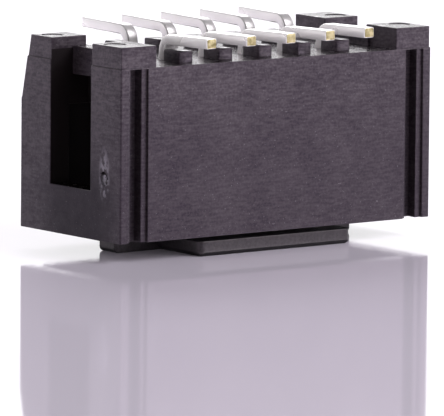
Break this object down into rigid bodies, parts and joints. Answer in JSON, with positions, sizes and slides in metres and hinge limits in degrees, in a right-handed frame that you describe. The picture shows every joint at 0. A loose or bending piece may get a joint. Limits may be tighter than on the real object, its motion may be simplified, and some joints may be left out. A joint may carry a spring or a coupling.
{
  "type": "idc box header",
  "caption": "Shrouded two-row box header for a ribbon-cable socket, surface mount, with slotted ends, a key slot, corner posts and a pick-up cap.",
  "frame": {"origin": "middle of the pick-up cap's pad on the surface the header stands on", "axes": "+X along the contact rows, -Y towards the plain long wall, +Z from the mating side up to the solder feet"},
  "size_m": [0.02, 0.0108, 0.0115],
  "materials": {
    "housing_plastic": "moulded, fine matte grain",
    "tinned_contact": "bright tin plate over brass",
    "cap_plastic": "moulded, smooth satin"
  },
  "bodies": {
    "root": {"housing": "housing_plastic", "contact_1": "tinned_contact", "contact_2": "tinned_contact", "contact_3": "tinned_contact", "contact_4": "tinned_contact", "contact_5": "tinned_contact", "contact_6": "tinned_contact", "contact_7": "tinned_contact", "contact_8": "tinned_contact", "contact_9": "tinned_contact", "contact_10": "tinned_contact", "pickup_cap": "cap_plastic"}
  },
  "joints": []
}
